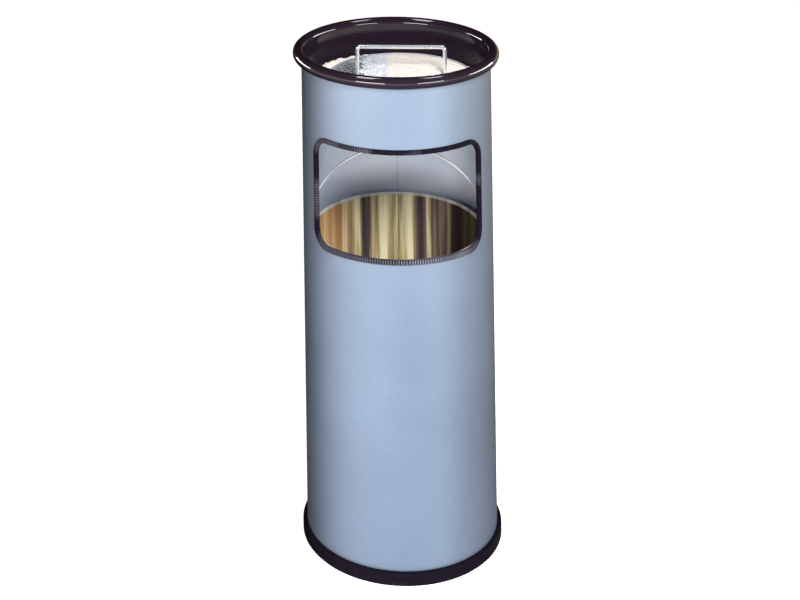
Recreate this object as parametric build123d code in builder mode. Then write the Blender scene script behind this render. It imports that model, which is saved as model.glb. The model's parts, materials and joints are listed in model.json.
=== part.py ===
from build123d import *
import os
from math import asin, cos, degrees, hypot, radians, sin, sqrt

# Round steel waste bin with an ash bowl on top.
# Millimetres. +Z is up, the window faces -Y, and the origin is the centre of the base, on the ground.
# Heights are stacked from the ground up, and radii are worked inward from the rolled body.

# ---- Rolled body ----
tube_radius = 122.5  # outside of the sheet
tube_sheet = 1.0
seam_lap = 12.0  # width of the doubled sheet down the back

# ---- Base ring and floor plate ----
ring_wall = 5.5  # how far the ring stands out from the tube
ring_height = 16.7
ring_bevel = 2.8
ring_top_round = 2.6
ring_ledge = 3.5  # thickness under the tube and the floor plate
ring_ledge_width = 9.4  # how far the ledge reaches in past the inner lip
ring_lip = 2.0
ring_lip_height = 5.0
groove_clearance = 0.1
plate_sheet = 1.0
plate_clearance = 0.1
plate_rib_radius = 62.0
plate_rib_width = 8.0
screw_count = 4
screw_shank = 3.4
screw_length = 5.0
screw_head = 6.0
screw_head_height = 1.7
screw_head_depth = 0.4  # how far the head sits above the ground
screw_clearance = 0.05

# ---- Window and its edge trim ----
window_height = 141.1  # over the trim
window_width = 247.5  # over the trim, along the curve of the body
window_corner_radius = 26.0
window_sill_gap = 1.0  # from the bucket's rim up to the trim
trim_face = 6.2
trim_slot_depth = 4.2
trim_proud = 3.2  # how far the trim stands out from the sheet
trim_inside = 2.8  # how far it stands in
trim_joint_gap = 0.4
trim_joint_angle = 5.0  # to the right of the middle of the sill

# ---- Bucket ----
bucket_height = 386.8
bucket_sheet = 0.8
bucket_wire = 3.0  # diameter of the wire in the rolled edge
bucket_wire_clearance = 0.05
bucket_floor_recess = 6.0
bucket_floor_clearance = 0.05
bucket_floor_bend = 1.6

# ---- Bail, its ears and their rivets ----
bail_wire = 3.0
bail_bend = 2.0
bail_to_trim = 0.8
bail_lean = 9.5  # degrees towards the window
bail_pivot_drop = 5.5  # below the top of the bucket
ear_sheet = 1.0
ear_width = 14.0
ear_to_bend = 0.1
ear_to_rim = 0.4
ear_foot = 20.0  # length of the part riveted to the wall
ear_top_margin = 5.2  # from the pivot to the top of the ear
ear_joggle = 4.0
pivot_clearance = 0.05
rivet_shank = 3.2
rivet_head = 6.0
rivet_head_height = 1.2
rivet_pitch = 10.0
rivet_wall_gap = 0.1

# ---- Ash bowl ----
bowl_height = 85.8
bowl_sheet = 0.8
bowl_to_window = 4.8
bowl_to_seam = 1.0
bowl_bead_radius = 7.4
bowl_bead_curl = 95.0  # degrees the bead curls on past its outermost point
bowl_neck = 8.5  # straight collar below the middle of the bead
bowl_taper = 7.7  # how much the wall closes in from the collar to the floor
bowl_floor_round = 6.0
bowl_seat_gap = 0.3

# ---- Sand, sieve and its handle ----
sand_depth = 37.8
sand_clearance = 0.2
sieve_offset_x = 7.0
sieve_offset_y = 15.0
sieve_to_bowl = 0.9
sieve_sheet = 1.2
sieve_rim_width = 2.0
sieve_rim_height = 2.4
sieve_rim_clearance = 0.05
mesh_cell_long = 18.0
mesh_cell_short = 9.0
mesh_open_share = 0.76
mesh_border = 3.0
handle_wire = 5.0
handle_width = 114.0  # between the centres of the legs
handle_bend = 4.5
handle_below_rim = 4.0  # from the top of the bowl down to the top of the bar
heap_depth = 3.0
heap_border = 3.0
heap_edge_x = -12.0  # the heap of sand covers the sieve to the right of this
heap_leg_clearance = 0.1

# ---- Radii worked inward from the tube ----
tube_inner = tube_radius - tube_sheet
seam_inner = tube_inner - tube_sheet
trim_outer = tube_radius + trim_proud
trim_inner = tube_inner - trim_inside
ring_lip_inner = tube_inner - groove_clearance - ring_lip
ring_inner = ring_lip_inner - ring_ledge_width
plate_radius = ring_lip_inner - plate_clearance
screw_circle = ring_inner + ring_ledge_width / 2

bail_radius = trim_inner - bail_to_trim - bail_wire / 2 - bail_bend
ear_outer = bail_radius - bail_bend - ear_to_bend
ear_inner = ear_outer - ear_sheet
bucket_rim_radius = ear_inner - ear_to_rim
bucket_curl_inside = bucket_wire / 2 + bucket_wire_clearance
bucket_curl_outside = bucket_curl_inside + bucket_sheet
bucket_curl_circle = bucket_rim_radius - bucket_curl_outside
bucket_inner = bucket_curl_circle - bucket_curl_outside
bucket_outer = bucket_inner + bucket_sheet

bowl_neck_outer = seam_inner - bowl_to_seam
bowl_neck_inner = bowl_neck_outer - bowl_sheet
bead_inside = bowl_bead_radius - bowl_sheet
bead_circle = bowl_neck_outer + bead_inside
bowl_floor_radius = bowl_neck_inner - bowl_taper

# ---- Heights stacked from the ground ----
plate_top = ring_ledge + plate_sheet
bucket_top = plate_top + bucket_height
pivot_height = bucket_top - bail_pivot_drop
window_low = bucket_top + window_sill_gap
window_high = window_low + window_height
bowl_low = window_high + bowl_to_window
bowl_floor = bowl_low + bowl_sheet
bowl_top = bowl_low + bowl_height
bead_height = bowl_top - bowl_bead_radius
neck_low = bead_height - bowl_neck
tube_top = bead_height + sqrt(bead_inside**2 - (bead_circle - tube_inner) ** 2) - bowl_seat_gap
seam_top = bead_height + sqrt(bead_inside**2 - (bead_circle - seam_inner) ** 2) - bowl_seat_gap
sand_top = bowl_floor + sand_depth
sieve_low = sand_top + sand_clearance
sieve_top = sieve_low + sieve_sheet

# The window's corners are round about radial lines at this angle from the window's middle.
window_half_angle = degrees(window_width / 2 / tube_radius)
corner_angle = window_half_angle - degrees(asin(window_corner_radius / tube_radius))
beyond = 2 * tube_radius  # longer than anything a cut has to reach through


def bowl_radius_at(height):
    """Inside radius of the bowl's tapered wall at a height."""
    share = (height - bowl_floor) / (neck_low - bowl_floor)
    return bowl_floor_radius + bowl_taper * share


def tube_between(inner_radius, outer_radius, low, high):
    """A plain tube about the bin's axis."""
    with BuildPart() as tube:
        with BuildSketch(Plane.XY.offset(low)):
            Circle(outer_radius)
            Circle(inner_radius, mode=Mode.SUBTRACT)
        extrude(amount=high - low)
    return tube.part


def window_plug(inset):
    """What fills the window, with every edge moved in by inset.

    Between the corner lines it is a wedge about the axis. Each end is a rounded
    slot cut along its corner line, so the edges stay square to the sheet.
    """
    low = window_low + inset
    high = window_high - inset
    corner = window_corner_radius - inset
    slot_width = 3 * window_corner_radius
    wedge_x = beyond * sin(radians(corner_angle))
    wedge_y = -beyond * cos(radians(corner_angle))
    with BuildPart() as plug:
        with BuildSketch(Plane.XY.offset(low)):
            with BuildLine():
                Polyline((0, 0), (-wedge_x, wedge_y), (wedge_x, wedge_y), close=True)
            make_face()
        extrude(amount=high - low)
        for side in (-1, 1):
            outward = Vector(side * wedge_x, wedge_y, 0).normalized()
            across = Vector(-outward.Y, outward.X, 0) * side
            start = outward * (tube_radius / 2) + Vector(0, 0, low)
            edge_plane = Plane(origin=start, x_dir=across, z_dir=outward)
            upward = 1 if edge_plane.y_dir.Z > 0 else -1
            with BuildSketch(edge_plane):
                with Locations((corner - slot_width / 2, upward * (high - low) / 2)):
                    RectangleRounded(slot_width, high - low, corner)
            extrude(amount=beyond)
    return plug.part


# ---- Body: rolled tube with its lapped seam ----
lap_low = ring_ledge + ring_lip_height + 0.5
sheet_opening = window_plug(trim_slot_depth)

with BuildPart() as body_shell:
    with BuildSketch(Plane.XY.offset(ring_ledge)):
        Circle(tube_radius)
        Circle(tube_inner, mode=Mode.SUBTRACT)
    extrude(amount=tube_top - ring_ledge)
    with BuildSketch(Plane.XY.offset(lap_low)):
        Circle(tube_inner + tube_sheet / 2)
        Circle(seam_inner, mode=Mode.SUBTRACT)
        with Locations((0, tube_inner)):
            Rectangle(seam_lap, 6 * tube_sheet, mode=Mode.INTERSECT)
    extrude(amount=seam_top - lap_low)
    add(sheet_opening, mode=Mode.SUBTRACT)
body_shell.part.label = "body_shell"

# ---- Window trim: a channel pushed onto the edge of the sheet ----
trim_outline = window_plug(0)
trim_opening = window_plug(trim_face)
trim_band = tube_between(trim_inner, trim_outer, window_low - 1, window_high + 1)
slot_sheet = tube_between(
    tube_inner - groove_clearance, tube_radius + groove_clearance, window_low - 1, window_high + 1
)
slot_edge = window_plug(trim_slot_depth + groove_clearance)
joint_direction = Vector(sin(radians(trim_joint_angle)), -cos(radians(trim_joint_angle)), 0)

with BuildPart() as trim_slot:
    add(slot_sheet)
    add(slot_edge, mode=Mode.SUBTRACT)

with BuildPart() as window_trim:
    add(trim_outline)
    add(trim_opening, mode=Mode.SUBTRACT)
    add(trim_band, mode=Mode.INTERSECT)
    add(trim_slot.part, mode=Mode.SUBTRACT)
    with BuildSketch(Plane(origin=(0, 0, window_low), z_dir=joint_direction)):
        Rectangle(trim_joint_gap, 4 * trim_face)
    extrude(amount=beyond, mode=Mode.SUBTRACT)
window_trim.part.label = "window_trim"

# ---- Base ring: moulded, grips the foot of the tube and carries the floor plate ----
ring_outer = tube_radius + ring_wall
groove_outer = tube_radius + groove_clearance
groove_inner = tube_inner - groove_clearance

with BuildPart() as base_ring:
    with BuildSketch(Plane.XZ) as ring_profile:
        with BuildLine():
            Polyline(
                (ring_inner, 0),
                (ring_outer - ring_bevel, 0),
                (ring_outer, ring_bevel),
                (ring_outer, ring_height),
                (groove_outer, ring_height),
                (groove_outer, ring_ledge),
                (groove_inner, ring_ledge),
                (groove_inner, ring_ledge + ring_lip_height),
                (ring_lip_inner, ring_ledge + ring_lip_height),
                (ring_lip_inner, ring_ledge),
                (ring_inner, ring_ledge),
                close=True,
            )
        make_face()
        top_corner = ring_profile.vertices().group_by(Axis.X)[-1].sort_by(Axis.Y)[-1]
        fillet(top_corner, ring_top_round)
    revolve(axis=Axis.Z)
    with BuildSketch(Plane.XY):
        with PolarLocations(screw_circle, screw_count, start_angle=45):
            Circle(screw_head / 2 + screw_clearance)
    extrude(amount=screw_head_depth + screw_head_height, mode=Mode.SUBTRACT)
    with BuildSketch(Plane.XY):
        with PolarLocations(screw_circle, screw_count, start_angle=45):
            Circle(screw_shank / 2 + screw_clearance)
    extrude(amount=ring_ledge, mode=Mode.SUBTRACT)
base_ring.part.label = "base_ring"

# ---- Floor plate: pressed disc with one stiffening rib ----
rib_in = plate_rib_radius - plate_rib_width / 2
rib_out = plate_rib_radius + plate_rib_width / 2

with BuildPart() as base_plate:
    with BuildSketch(Plane.XZ):
        with BuildLine():
            Polyline(
                (0, ring_ledge),
                (rib_in, ring_ledge),
                (rib_in + plate_sheet, ring_ledge - plate_sheet),
                (rib_out - plate_sheet, ring_ledge - plate_sheet),
                (rib_out, ring_ledge),
                (plate_radius, ring_ledge),
                (plate_radius, plate_top),
                (rib_out - plate_sheet / 2, plate_top),
                (rib_out - plate_sheet * 3 / 2, ring_ledge),
                (rib_in + plate_sheet * 3 / 2, ring_ledge),
                (rib_in + plate_sheet / 2, plate_top),
                (0, plate_top),
                close=True,
            )
        make_face()
    revolve(axis=Axis.Z)
    with BuildSketch(Plane.XY.offset(ring_ledge)):
        with PolarLocations(screw_circle, screw_count, start_angle=45):
            Circle(screw_shank / 2 + screw_clearance)
    extrude(amount=plate_sheet, mode=Mode.SUBTRACT)
base_plate.part.label = "base_plate"

# ---- Screws that hold the ring to the floor plate, from below ----
with BuildPart() as base_screws:
    with BuildSketch(Plane.XY.offset(screw_head_depth)):
        with PolarLocations(screw_circle, screw_count, start_angle=45):
            Circle(screw_head / 2)
    extrude(amount=screw_head_height)
    with BuildSketch(Plane.XY.offset(screw_head_depth + screw_head_height)):
        with PolarLocations(screw_circle, screw_count, start_angle=45):
            Circle(screw_shank / 2)
    extrude(amount=screw_length)
base_screws.part.label = "base_screws"

# ---- Bucket wall: rolled sheet, its top edge curled outward round a wire ----
rivet_heights = (
    pivot_height - bail_pivot_drop - ear_joggle - ear_foot / 2 - rivet_pitch / 2,
    pivot_height - bail_pivot_drop - ear_joggle - ear_foot / 2 + rivet_pitch / 2,
)
curl_height = bucket_top - bucket_curl_outside
curl_end = 250.0  # degrees of sheet wrapped round the wire
curl_tip = radians(180 - curl_end)
curl_centre = Vector(bucket_curl_circle, curl_height)
curl_lip = Vector(cos(curl_tip), sin(curl_tip))

with BuildPart() as bucket_shell:
    with BuildSketch(Plane.XZ):
        with BuildLine():
            Polyline(
                (bucket_outer, curl_height),
                (bucket_outer, plate_top),
                (bucket_inner, plate_top),
                (bucket_inner, curl_height),
            )
            CenterArc(curl_centre, bucket_curl_outside, 180, -curl_end)
            Line(curl_centre + curl_lip * bucket_curl_outside, curl_centre + curl_lip * bucket_curl_inside)
            CenterArc(curl_centre, bucket_curl_inside, 180 - curl_end, curl_end)
        make_face()
    revolve(axis=Axis.Z)
    for rivet_height in rivet_heights:
        with BuildSketch(Plane.YZ.offset(-beyond)):
            with Locations((0, rivet_height)):
                Circle(rivet_shank / 2)
        extrude(amount=2 * beyond, mode=Mode.SUBTRACT)
bucket_shell.part.label = "bucket_shell"

# ---- Bucket floor: disc with a turned-down flange inside the wall ----
floor_radius = bucket_inner - bucket_floor_clearance
floor_top = plate_top + bucket_floor_recess

with BuildPart() as bucket_floor:
    with BuildSketch(Plane.XZ) as floor_profile:
        with BuildLine():
            Polyline(
                (0, floor_top - bucket_sheet),
                (floor_radius - bucket_sheet, floor_top - bucket_sheet),
                (floor_radius - bucket_sheet, plate_top),
                (floor_radius, plate_top),
                (floor_radius, floor_top),
                (0, floor_top),
                close=True,
            )
        make_face()
        outer_corner = floor_profile.vertices().group_by(Axis.X)[-1].sort_by(Axis.Y)[-1]
        fillet(outer_corner, bucket_floor_bend)
    revolve(axis=Axis.Z)
bucket_floor.part.label = "bucket_floor"

# ---- Wire inside the bucket's rolled edge ----
with BuildPart() as bucket_rim_wire:
    with BuildSketch(Plane.XZ):
        with Locations(curl_centre):
            Circle(bucket_wire / 2)
    revolve(axis=Axis.Z)
bucket_rim_wire.part.label = "bucket_rim_wire"

# ---- Bail ears: joggled straps riveted to the wall, standing clear of the rolled edge ----
ear_top = pivot_height + ear_top_margin
joggle_top = pivot_height - bail_pivot_drop
joggle_low = joggle_top - ear_joggle
foot_low = joggle_low - ear_foot

with BuildPart() as bail_ear_right:
    with BuildSketch(Plane.XZ):
        with BuildLine():
            Polyline(
                (bucket_outer, foot_low),
                (bucket_outer + ear_sheet, foot_low),
                (bucket_outer + ear_sheet, joggle_low),
                (ear_outer, joggle_top),
                (ear_outer, ear_top),
                (ear_inner, ear_top),
                (ear_inner, joggle_top + ear_sheet / 2),
                (bucket_outer, joggle_low + ear_sheet / 2),
                close=True,
            )
        make_face()
    extrude(amount=ear_width / 2, both=True)
    corners = bail_ear_right.edges().filter_by(Axis.X)
    fillet(corners.group_by(Axis.Z)[-1] + corners.group_by(Axis.Z)[0], ear_width / 3)
    with BuildSketch(Plane.YZ):
        with Locations((0, pivot_height)):
            Circle(bail_wire / 2 + pivot_clearance)
        with Locations(*[(0, rivet_height) for rivet_height in rivet_heights]):
            Circle(rivet_shank / 2)
    extrude(amount=beyond, mode=Mode.SUBTRACT)
bail_ear_right.part.label = "bail_ear_right"

with BuildPart() as bail_ear_left:
    add(mirror(bail_ear_right.part, about=Plane.YZ, mode=Mode.PRIVATE))
bail_ear_left.part.label = "bail_ear_left"

# ---- Rivets through the ears and the wall, headed on both sides ----
rivet_inside = sqrt(bucket_inner**2 - (rivet_head / 2) ** 2) - rivet_wall_gap
rivet_outside = bucket_outer + ear_sheet

with BuildPart() as bail_rivets:
    for side in (-1, 1):
        for rivet_height in rivet_heights:
            spot = Plane(origin=(side * rivet_inside, 0, rivet_height), z_dir=(side, 0, 0))
            with BuildSketch(spot):
                Circle(rivet_shank / 2)
            extrude(amount=rivet_outside - rivet_inside)
            with BuildSketch(spot):
                Circle(rivet_head / 2)
            extrude(amount=-rivet_head_height)
            with BuildSketch(spot.offset(rivet_outside - rivet_inside)):
                Circle(rivet_head / 2)
            extrude(amount=rivet_head_height, taper=20)
bail_rivets.part.label = "bail_rivets"

# ---- Bail: one wire, its ends turned in through the ears ----
lean = radians(bail_lean)
bail_tip = ear_inner - ear_to_rim / 2
bail_plane = Plane(origin=(0, 0, pivot_height), x_dir=(1, 0, 0), z_dir=(0, -cos(lean), -sin(lean)))

with BuildPart() as bail:
    with BuildLine(bail_plane):
        Line((-bail_tip, 0), (bail_bend - bail_radius, 0))
        CenterArc((bail_bend - bail_radius, bail_bend), bail_bend, 270, -90)
        CenterArc((0, bail_bend), bail_radius, 180, -180)
        CenterArc((bail_radius - bail_bend, bail_bend), bail_bend, 0, -90)
        Line((bail_radius - bail_bend, 0), (bail_tip, 0))
    with BuildSketch(Plane(origin=(-bail_tip, 0, pivot_height), z_dir=(-1, 0, 0))):
        Circle(bail_wire / 2)
    sweep()
bail.part.label = "bail"

# ---- Ash bowl: spun pan whose rim rolls out over the top of the tube ----
bead_centre = Vector(bead_circle, bead_height)
bead_tip = radians(-bowl_bead_curl)
bead_lip = Vector(cos(bead_tip), sin(bead_tip))
bead_sweep = 180 + bowl_bead_curl

with BuildPart() as ash_bowl:
    with BuildSketch(Plane.XZ) as bowl_profile:
        with BuildLine():
            Polyline(
                (bowl_neck_outer, bead_height),
                (bowl_neck_outer, neck_low),
                (bowl_floor_radius + bowl_sheet, bowl_low),
                (0, bowl_low),
                (0, bowl_floor),
                (bowl_floor_radius, bowl_floor),
                (bowl_neck_inner, neck_low),
                (bowl_neck_inner, bead_height),
            )
            CenterArc(bead_centre, bowl_bead_radius, 180, -bead_sweep)
            Line(bead_centre + bead_lip * bowl_bead_radius, bead_centre + bead_lip * bead_inside)
            CenterArc(bead_centre, bead_inside, 180 - bead_sweep, bead_sweep)
        make_face()
        under_corner = bowl_profile.vertices().group_by(Axis.Y)[0].sort_by(Axis.X)[-1]
        fillet(under_corner, bowl_floor_round + bowl_sheet)
        inner_corner = bowl_profile.vertices().sort_by_distance((bowl_floor_radius, bowl_floor))[0]
        fillet(inner_corner, bowl_floor_round)
    revolve(axis=Axis.Z)
ash_bowl.part.label = "ash_bowl"

# ---- Sand that fills the bowl up to the sieve ----
with BuildPart() as sand_bed:
    with BuildSketch(Plane.XZ) as bed_profile:
        with BuildLine():
            Polyline(
                (0, bowl_floor + sand_clearance),
                (bowl_floor_radius - sand_clearance, bowl_floor + sand_clearance),
                (bowl_radius_at(sand_top) - sand_clearance, sand_top),
                (0, sand_top),
                close=True,
            )
        make_face()
        bed_corner = bed_profile.vertices().group_by(Axis.Y)[0].sort_by(Axis.X)[-1]
        fillet(bed_corner, bowl_floor_round)
    revolve(axis=Axis.Z)
sand_bed.part.label = "sand_bed"

# ---- Sieve: a disc of diamond mesh lying on the sand, off the bowl's centre ----
sieve_shift = hypot(sieve_offset_x, sieve_offset_y)
sieve_radius = bowl_radius_at(sieve_low) - sieve_shift - sieve_to_bowl
mesh_radius = sieve_radius - sieve_rim_width - sieve_rim_clearance
sieve_plane = Plane(origin=(sieve_offset_x, sieve_offset_y, sieve_low))
cell_reach = mesh_radius - mesh_border - mesh_cell_long / 2
cells_out = int(mesh_radius / mesh_cell_short) + 1
half_long = mesh_cell_long / 2
half_short = mesh_cell_short / 2
cells = [
    (column * half_long, row * half_short)
    for column in range(-cells_out, cells_out + 1)
    for row in range(-2 * cells_out, 2 * cells_out + 1)
    if (column + row) % 2 == 0
]
mesh_cells = [cell for cell in cells if hypot(*cell) < cell_reach]

with BuildPart() as sieve_mesh:
    with BuildSketch(sieve_plane):
        Circle(mesh_radius)
    extrude(amount=sieve_sheet)
    with BuildSketch(sieve_plane):
        with Locations(*mesh_cells):
            Polygon(
                (-half_long * mesh_open_share, 0),
                (0, -half_short * mesh_open_share),
                (half_long * mesh_open_share, 0),
                (0, half_short * mesh_open_share),
            )
    extrude(amount=sieve_sheet, mode=Mode.SUBTRACT)
sieve_mesh.part.label = "sieve_mesh"

# ---- Sieve rim: flat band round the mesh ----
with BuildPart() as sieve_rim:
    with BuildSketch(sieve_plane):
        Circle(sieve_radius)
        Circle(sieve_radius - sieve_rim_width, mode=Mode.SUBTRACT)
    extrude(amount=sieve_rim_height)
sieve_rim.part.label = "sieve_rim"

# ---- Sieve handle: square hoop of round bar standing on the mesh ----
bar_height = bowl_top - handle_below_rim - handle_wire / 2
leg_left = sieve_offset_x - handle_width / 2
leg_right = sieve_offset_x + handle_width / 2

with BuildPart() as sieve_handle:
    with BuildLine():
        FilletPolyline(
            (leg_left, sieve_offset_y, sieve_top),
            (leg_left, sieve_offset_y, bar_height),
            (leg_right, sieve_offset_y, bar_height),
            (leg_right, sieve_offset_y, sieve_top),
            radius=handle_bend,
        )
    with BuildSketch(Plane(origin=(leg_left, sieve_offset_y, sieve_top))):
        Circle(handle_wire / 2)
    sweep()
sieve_handle.part.label = "sieve_handle"

# ---- Sand lying on the right of the sieve, round the handle's leg ----
heap_radius = sieve_radius - sieve_rim_width - heap_border
heap_plane = sieve_plane.offset(sieve_sheet + sand_clearance)
heap_span = 2 * heap_radius

with BuildPart() as sand_heap:
    with BuildSketch(heap_plane):
        Circle(heap_radius)
        with Locations((heap_edge_x - sieve_offset_x - heap_span / 2, 0)):
            Rectangle(heap_span, heap_span, mode=Mode.SUBTRACT)
        with Locations((handle_width / 2, 0)):
            Circle(handle_wire / 2 + heap_leg_clearance, mode=Mode.SUBTRACT)
    extrude(amount=heap_depth)
sand_heap.part.label = "sand_heap"

# ---- One STEP file for each piece ----
os.makedirs("parts", exist_ok=True)
export_step(body_shell.part, "parts/body_shell.step")
export_step(window_trim.part, "parts/window_trim.step")
export_step(base_ring.part, "parts/base_ring.step")
export_step(base_plate.part, "parts/base_plate.step")
export_step(base_screws.part, "parts/base_screws.step")
export_step(bucket_shell.part, "parts/bucket_shell.step")
export_step(bucket_floor.part, "parts/bucket_floor.step")
export_step(bucket_rim_wire.part, "parts/bucket_rim_wire.step")
export_step(bail_ear_right.part, "parts/bail_ear_right.step")
export_step(bail_ear_left.part, "parts/bail_ear_left.step")
export_step(bail_rivets.part, "parts/bail_rivets.step")
export_step(bail.part, "parts/bail.step")
export_step(ash_bowl.part, "parts/ash_bowl.step")
export_step(sand_bed.part, "parts/sand_bed.step")
export_step(sieve_mesh.part, "parts/sieve_mesh.step")
export_step(sieve_rim.part, "parts/sieve_rim.step")
export_step(sieve_handle.part, "parts/sieve_handle.step")
export_step(sand_heap.part, "parts/sand_heap.step")
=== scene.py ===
import json

import bpy
import bmesh
import numpy as np
from math import asin, cos, pi, radians, sin, sqrt
from mathutils import Matrix, Vector


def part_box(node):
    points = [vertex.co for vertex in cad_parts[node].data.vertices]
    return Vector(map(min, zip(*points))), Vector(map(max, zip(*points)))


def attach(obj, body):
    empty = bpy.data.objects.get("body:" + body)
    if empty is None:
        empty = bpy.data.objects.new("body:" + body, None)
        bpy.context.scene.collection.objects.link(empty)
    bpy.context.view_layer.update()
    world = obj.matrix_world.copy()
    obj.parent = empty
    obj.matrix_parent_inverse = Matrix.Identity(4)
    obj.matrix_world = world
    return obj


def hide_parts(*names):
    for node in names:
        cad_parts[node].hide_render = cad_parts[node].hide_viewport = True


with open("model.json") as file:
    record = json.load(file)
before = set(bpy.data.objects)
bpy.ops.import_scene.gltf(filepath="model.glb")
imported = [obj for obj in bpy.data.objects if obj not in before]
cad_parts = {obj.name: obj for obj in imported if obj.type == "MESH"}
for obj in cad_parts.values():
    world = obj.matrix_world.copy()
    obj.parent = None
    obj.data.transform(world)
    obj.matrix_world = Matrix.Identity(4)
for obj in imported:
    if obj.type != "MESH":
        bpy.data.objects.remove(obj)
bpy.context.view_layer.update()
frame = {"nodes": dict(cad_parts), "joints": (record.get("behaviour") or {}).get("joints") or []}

bl_info = {
    "name": "Litter bin with ash bowl",
    "version": (1, 0, 0),
    "blender": (4, 5, 0),
    "location": "3D View > Sidebar > Bin",
    "description": "Builds the finished surfaces of a round steel litter bin round its packed frame",
    "category": "Object",
}

# ---- Places read from the frame, in metres ----

MM = 0.001
TUBE_LOW, TUBE_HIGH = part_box("body_shell")
TRIM_LOW, TRIM_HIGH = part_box("window_trim")
RING_LOW, RING_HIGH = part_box("base_ring")
BUCKET_LOW, BUCKET_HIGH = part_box("bucket_shell")
BAIL_LOW, BAIL_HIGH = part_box("bail")
BOWL_LOW, BOWL_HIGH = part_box("ash_bowl")
BED_LOW, BED_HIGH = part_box("sand_bed")
MESH_LOW, MESH_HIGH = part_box("sieve_mesh")
SIEVE_LOW, SIEVE_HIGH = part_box("sieve_rim")
HOOP_LOW, HOOP_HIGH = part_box("sieve_handle")
HEAP_LOW, HEAP_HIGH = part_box("sand_heap")
TUBE_RADIUS = TUBE_HIGH.x
SIEVE_CENTRE = (SIEVE_LOW + SIEVE_HIGH) / 2
BAIL_JOINT = next(joint for joint in frame["joints"] if joint["name"] == "bail_swing")


# ---- Sizes and colours a user would change ----


class BinSizes(bpy.types.PropertyGroup):
    """Sheet, wire and trim sizes of the bin."""

    sheet: bpy.props.FloatProperty(
        name="Tube sheet", description="Thickness of the rolled body", default=1.0 * MM, unit="LENGTH"
    )
    bucket_sheet: bpy.props.FloatProperty(
        name="Bucket sheet", description="Thickness of the bucket's wall", default=0.8 * MM, unit="LENGTH"
    )
    bucket_curl: bpy.props.FloatProperty(
        name="Bucket curl",
        description="Outside radius of the bucket's rolled edge",
        default=2.35 * MM,
        unit="LENGTH",
    )
    bowl_sheet: bpy.props.FloatProperty(
        name="Bowl sheet", description="Thickness of the ash bowl", default=0.8 * MM, unit="LENGTH"
    )
    bowl_bead: bpy.props.FloatProperty(
        name="Bowl bead", description="Radius of the bowl's rolled rim", default=7.4 * MM, unit="LENGTH"
    )
    bowl_taper: bpy.props.FloatProperty(
        name="Bowl taper",
        description="How far the bowl's wall closes in towards its floor",
        default=7.7 * MM,
        unit="LENGTH",
    )
    seam_lap: bpy.props.FloatProperty(
        name="Seam lap",
        description="Width of the doubled sheet down the back",
        default=12.0 * MM,
        unit="LENGTH",
    )


class TrimSizes(bpy.types.PropertyGroup):
    """The ribbed channel round the window."""

    corner: bpy.props.FloatProperty(
        name="Corner", description="Radius of the trim's outer corners", default=26.0 * MM, unit="LENGTH"
    )
    width: bpy.props.FloatProperty(
        name="Width",
        description="Width of the trim over its outer edges, along the tube",
        default=247.5 * MM,
        unit="LENGTH",
    )
    face: bpy.props.FloatProperty(
        name="Face", description="Width of the trim's face", default=6.2 * MM, unit="LENGTH"
    )
    slot: bpy.props.FloatProperty(
        name="Slot", description="Depth of the slot that grips the sheet", default=4.2 * MM, unit="LENGTH"
    )
    inside: bpy.props.FloatProperty(
        name="Inside",
        description="How far the trim stands in from the sheet",
        default=2.8 * MM,
        unit="LENGTH",
    )
    rib_pitch: bpy.props.FloatProperty(
        name="Rib pitch", description="Distance from one rib to the next", default=3.2 * MM, unit="LENGTH"
    )
    rib_depth: bpy.props.FloatProperty(
        name="Rib depth",
        description="How deep the grooves between ribs are",
        default=0.55 * MM,
        unit="LENGTH",
    )
    joint_angle: bpy.props.FloatProperty(
        name="Joint",
        description="Where the trim's ends meet on the sill",
        default=radians(5.0),
        subtype="ANGLE",
    )


class SieveSizes(bpy.types.PropertyGroup):
    """Mesh, hoop and sand of the ash bowl."""

    cell_long: bpy.props.FloatProperty(
        name="Cell length", description="Long way of a mesh cell", default=14.0 * MM, unit="LENGTH"
    )
    cell_short: bpy.props.FloatProperty(
        name="Cell width", description="Short way of a mesh cell", default=6.6 * MM, unit="LENGTH"
    )
    cell_turn: bpy.props.FloatProperty(
        name="Cell turn",
        description="How far the cells' long way is turned from the bin's X axis",
        default=radians(-45.0),
        subtype="ANGLE",
    )
    open_share: bpy.props.FloatProperty(
        name="Opening", description="Share of a cell that is open", default=0.72, min=0.3, max=0.9
    )
    hoop_bend: bpy.props.FloatProperty(
        name="Hoop bend", description="Radius of the hoop's corners", default=4.5 * MM, unit="LENGTH"
    )
    ripple: bpy.props.FloatProperty(
        name="Sand ripple", description="Height of the sand's unevenness", default=0.7 * MM, unit="LENGTH"
    )
    heap_edge: bpy.props.FloatProperty(
        name="Heap edge",
        description="Where the sand on the sieve begins, left of the axis",
        default=-44.0 * MM,
        unit="LENGTH",
    )


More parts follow.
